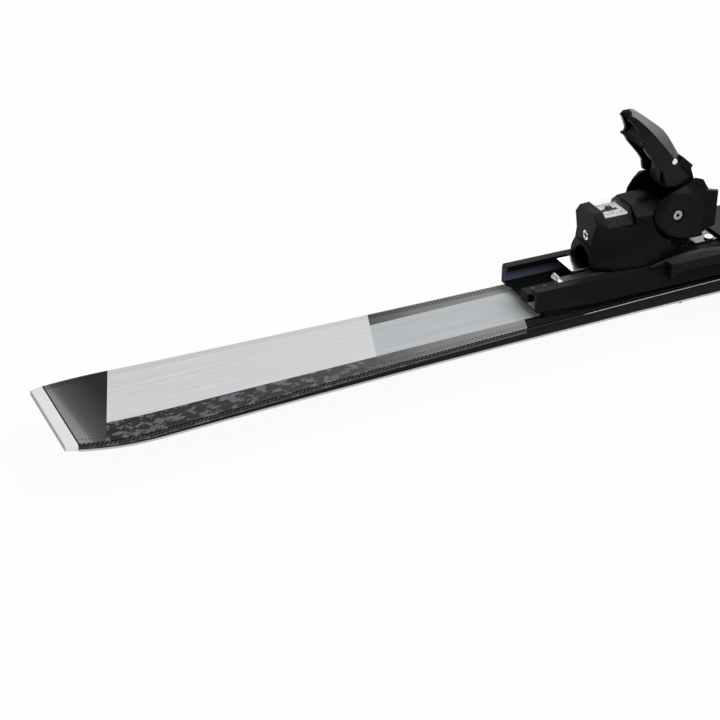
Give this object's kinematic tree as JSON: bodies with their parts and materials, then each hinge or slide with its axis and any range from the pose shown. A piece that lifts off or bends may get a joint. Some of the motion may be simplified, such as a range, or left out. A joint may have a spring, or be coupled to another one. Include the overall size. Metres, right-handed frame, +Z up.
{
  "type": "alpine ski with binding",
  "caption": "Shaped alpine ski with turned-up tip, steel edges and a track-mounted release binding: heel piece with lever, toe piece and ski brake.",
  "frame": {"origin": "midway between tail and tip, on the centre line, at the level of the open brake's feet", "axes": "+X from tail to tip, +Y to the skier's left, +Z up from the running base to the top sheet"},
  "size_m": [1.65, 0.1238, 0.2241],
  "materials": {
    "running_base": "satin, lightly waxed",
    "edge_steel": "ground",
    "core_wood": "planed",
    "sidewall_black": "satin",
    "sheet_metal": "milled",
    "top_sheet": "gloss with a printed pattern",
    "protector_white": "gloss",
    "rubber_black": "matte",
    "track_black": "satin",
    "body_black": "satin gloss",
    "chrome": "bright",
    "clear_window": "clear",
    "pointer_dark": "gloss",
    "pad_grey": "slick"
  },
  "bodies": {
    "ski": {"base_sheet": "running_base", "steel_edges": "edge_steel", "wood_core": "core_wood", "sidewalls": "sidewall_black", "metal_sheet": "sheet_metal", "top_sheet": "top_sheet", "tail_protector": "protector_white", "tip_protector": "protector_white", "heel_riser": "rubber_black", "heel_track": "track_black", "lock_rack": "edge_steel", "heel_track_screws": "edge_steel", "toe_riser": "rubber_black", "toe_track": "track_black", "toe_base": "edge_steel", "toe_screws": "chrome", "toe_housing": "body_black", "toe_wing_pins": "chrome", "toe_spring": "edge_steel", "toe_piston": "edge_steel", "toe_scale": "protector_white", "toe_window": "clear_window"},
    "heel_unit": {"heel_carriage": "track_black", "carriage_plate": "chrome", "plate_screws": "chrome", "lock_tab_pin": "chrome", "heel_housing": "body_black", "heel_pivot_screws": "chrome", "heel_spring": "edge_steel", "heel_piston": "edge_steel", "heel_scale": "protector_white", "heel_window": "clear_window", "brake_base": "track_black", "brake_spring": "edge_steel"},
    "tab": {"lock_tab": "edge_steel"},
    "jaw": {"heel_jaw": "body_black", "jaw_tread": "track_black", "lever_pin": "chrome"},
    "lever": {"heel_lever": "body_black"},
    "heel_adjuster": {"heel_screw": "chrome"},
    "heel_mark": {"heel_spring_nut": "edge_steel", "heel_pointer": "pointer_dark"},
    "brake": {"brake_arms": "edge_steel", "brake_feet": "track_black", "brake_pedal": "track_black"},
    "wing_left": {"toe_wing_left": "body_black"},
    "wing_right": {"toe_wing_right": "body_black"},
    "toe_adjuster": {"toe_screw": "chrome"},
    "toe_mark": {"toe_spring_nut": "edge_steel", "toe_pointer": "pointer_dark"},
    "pad_lifter": {"pad_carrier": "track_black"},
    "pad_adjuster": {"pad_screw": "chrome"},
    "pad": {"sliding_pad": "pad_grey"}
  },
  "joints": [
    {"name": "heel_slide", "type": "slide", "parent": "ski", "child": "heel_unit", "axis": [1, 0, 0], "range_m": [-0.036, 0.012]},
    {"name": "tab_lift", "type": "hinge", "parent": "heel_unit", "child": "tab", "pos_m": [-0.344, -0.017, 0.08711], "axis": [0, 1, 0], "range_deg": [0, 8], "stiffness_Nm_per_rad": 0.05, "springref_deg": -17.19},
    {"name": "jaw_open", "type": "hinge", "parent": "heel_unit", "child": "jaw", "pos_m": [-0.279, 0, 0.13321], "axis": [0, -1, 0], "range_deg": [0, 38]},
    {"name": "lever_swing", "type": "hinge", "parent": "jaw", "child": "lever", "pos_m": [-0.2815, 0, 0.17951], "axis": [0, -1, 0], "range_deg": [0, 12.2]},
    {"name": "heel_adjust", "type": "hinge", "parent": "heel_unit", "child": "heel_adjuster", "pos_m": [-0.351, 0, 0.11721], "axis": [1, 0, 0], "range_deg": [-720, 720]},
    {"name": "heel_mark_slide", "type": "slide", "parent": "heel_unit", "child": "heel_mark", "axis": [1, 0, 0], "range_m": [-0.00401, 0.00401]},
    {"name": "brake_tread", "type": "hinge", "parent": "heel_unit", "child": "brake", "pos_m": [-0.175, 0, 0.09691], "axis": [0, 1, 0], "range_deg": [0, 62], "stiffness_Nm_per_rad": 3, "springref_deg": -68.75},
    {"name": "wing_left_swing", "type": "hinge", "parent": "ski", "child": "wing_left", "pos_m": [0.0615, 0.0255, 0.11691], "axis": [0, 0, -1], "range_deg": [0, 30], "stiffness_Nm_per_rad": 6, "springref_deg": -11.46},
    {"name": "wing_right_swing", "type": "hinge", "parent": "ski", "child": "wing_right", "pos_m": [0.0615, -0.0255, 0.11691], "axis": [0, 0, 1], "range_deg": [0, 30], "stiffness_Nm_per_rad": 6, "springref_deg": -11.46},
    {"name": "toe_adjust", "type": "hinge", "parent": "ski", "child": "toe_adjuster", "pos_m": [0.1455, 0, 0.11091], "axis": [1, 0, 0], "range_deg": [-720, 720]},
    {"name": "toe_mark_slide", "type": "slide", "parent": "ski", "child": "toe_mark", "axis": [1, 0, 0], "range_m": [-0.00401, 0.00401]},
    {"name": "pad_lift", "type": "slide", "parent": "ski", "child": "pad_lifter", "axis": [0, 0, 1], "range_m": [0, 0.0035]},
    {"name": "pad_turn", "type": "hinge", "parent": "pad_lifter", "child": "pad_adjuster", "pos_m": [-0.0165, 0, 0.09391], "axis": [0, 0, 1], "range_deg": [0, 842]},
    {"name": "pad_slide", "type": "slide", "parent": "pad_lifter", "child": "pad", "axis": [0, 1, 0], "range_m": [-0.008, 0.008], "stiffness_N_per_m": 400}
  ],
  "couplings": [
    {"joint": "lever_swing", "follows": "jaw_open", "ratio": 0.32},
    {"joint": "heel_mark_slide", "follows": "heel_adjust", "m_per_rad": 0.00031831},
    {"joint": "toe_mark_slide", "follows": "toe_adjust", "m_per_rad": 0.00031831},
    {"joint": "pad_turn", "follows": "pad_lift", "rad_per_m": 4188.8}
  ]
}
